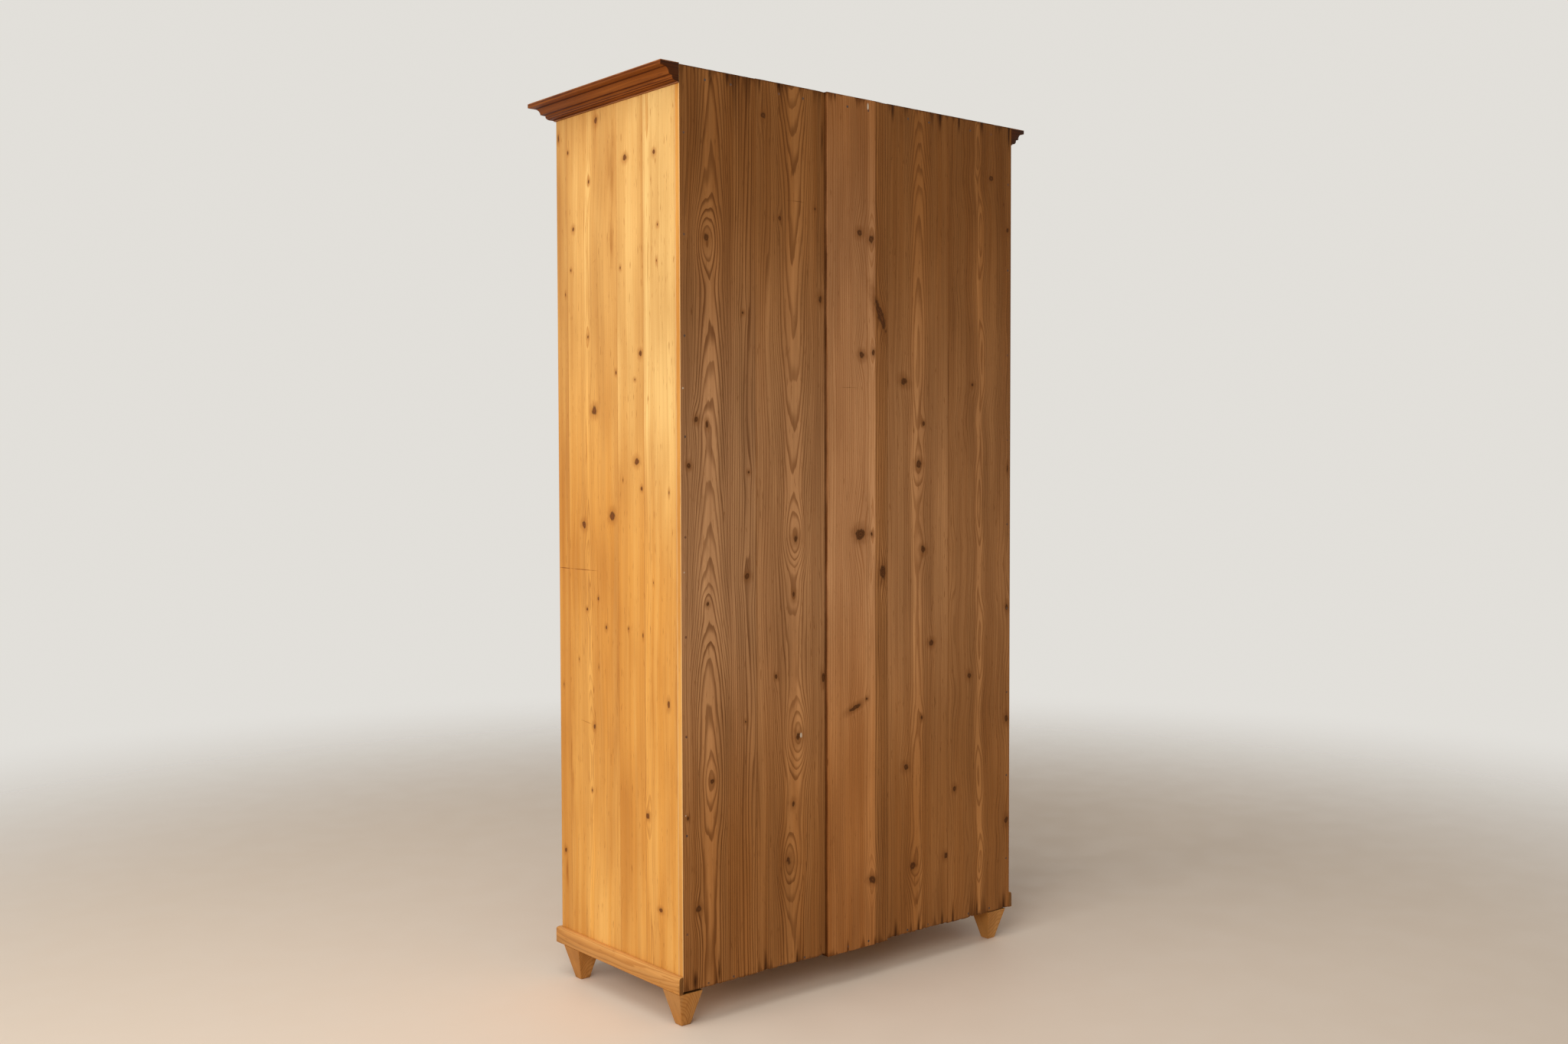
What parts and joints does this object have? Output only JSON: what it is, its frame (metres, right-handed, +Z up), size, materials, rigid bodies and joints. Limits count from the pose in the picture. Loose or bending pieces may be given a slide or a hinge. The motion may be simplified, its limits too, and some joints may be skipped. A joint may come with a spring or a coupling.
{
  "type": "wardrobe",
  "caption": "Free-standing pine wardrobe with a panelled door on lift-off hinges, a key-worked lock, a moulded cornice, tapered feet, a hat shelf and a coat-peg rail.",
  "frame": {"origin": "centre of the outer box at floor level", "axes": "+Z up; the door faces -Y and the back boards face +Y; +X towards the lock side"},
  "size_m": [1.035, 0.4976, 1.892],
  "materials": {
    "honey_pine": "satin waxed pine",
    "aged_pine": "matt aged pine, unplaned",
    "orange_pine": "matt aged pine",
    "cornice_pine": "satin red-brown varnish",
    "raw_pine": "matt raw pine",
    "iron": "dark oxidised iron",
    "brass": "aged brass"
  },
  "bodies": {
    "carcass": {"back_board_1": "aged_pine", "back_board_2": "aged_pine", "back_board_3": "orange_pine", "back_board_4": "aged_pine", "back_board_5": "aged_pine", "back_nails": "iron", "base_moulding_front": "honey_pine", "base_moulding_left": "honey_pine", "base_moulding_right": "honey_pine", "bottom_board": "raw_pine", "coat_pegs": "raw_pine", "cornice_front": "cornice_pine", "cornice_glue_blocks": "raw_pine", "cornice_left": "cornice_pine", "cornice_right": "cornice_pine", "flank_panel_lower_left": "honey_pine", "flank_panel_lower_right": "honey_pine", "flank_panel_upper_left": "honey_pine", "flank_panel_upper_right": "honey_pine", "flank_rail_left": "honey_pine", "flank_rail_right": "honey_pine", "foot_back_left": "honey_pine", "foot_back_right": "honey_pine", "foot_front_left": "honey_pine", "foot_front_right": "honey_pine", "front_bottom_rail": "honey_pine", "front_top_rail": "honey_pine", "hat_shelf": "raw_pine", "hinge_frame_leaves": "iron", "hinge_frame_screws": "iron", "hinge_jamb": "honey_pine", "lock_jamb": "honey_pine", "peg_rail": "raw_pine", "post_left": "honey_pine", "post_right": "honey_pine", "shelf_cleat_left": "raw_pine", "shelf_cleat_right": "raw_pine", "side_left_front_board": "honey_pine", "side_left_middle_board": "honey_pine", "side_left_rear_board": "honey_pine", "side_right_front_board": "honey_pine", "side_right_middle_board": "honey_pine", "side_right_rear_board": "honey_pine", "strike_plate": "iron", "top_board": "raw_pine"},
    "door": {"door_bottom_rail": "honey_pine", "door_hinge_stile": "honey_pine", "door_lock_rail": "honey_pine", "door_lock_stile": "honey_pine", "door_lower_panel": "honey_pine", "door_top_rail": "honey_pine", "door_upper_panel": "honey_pine", "hinge_door_leaves": "iron", "hinge_door_screws": "iron", "lock_case": "iron", "lock_screws": "iron", "escutcheon": "brass"},
    "lock_bolt": {"lock_bolt": "iron"},
    "key": {"key": "brass"}
  },
  "joints": [
    {"name": "door_swing", "type": "hinge", "parent": "carcass", "child": "door", "pos_m": [-0.294, -0.21005, 0.967], "axis": [0, 0, -1], "range_deg": [0, 175]},
    {"name": "key_turn", "type": "hinge", "parent": "door", "child": "key", "pos_m": [0.242, -0.20475, 1.05], "axis": [0, 1, 0], "range_deg": [0, 360]},
    {"name": "bolt_slide", "type": "slide", "parent": "door", "child": "lock_bolt", "axis": [1, 0, 0], "range_m": [0, 0.012]}
  ],
  "couplings": [
    {"joint": "bolt_slide", "follows": "key_turn", "m_per_rad": 0.0019098}
  ]
}
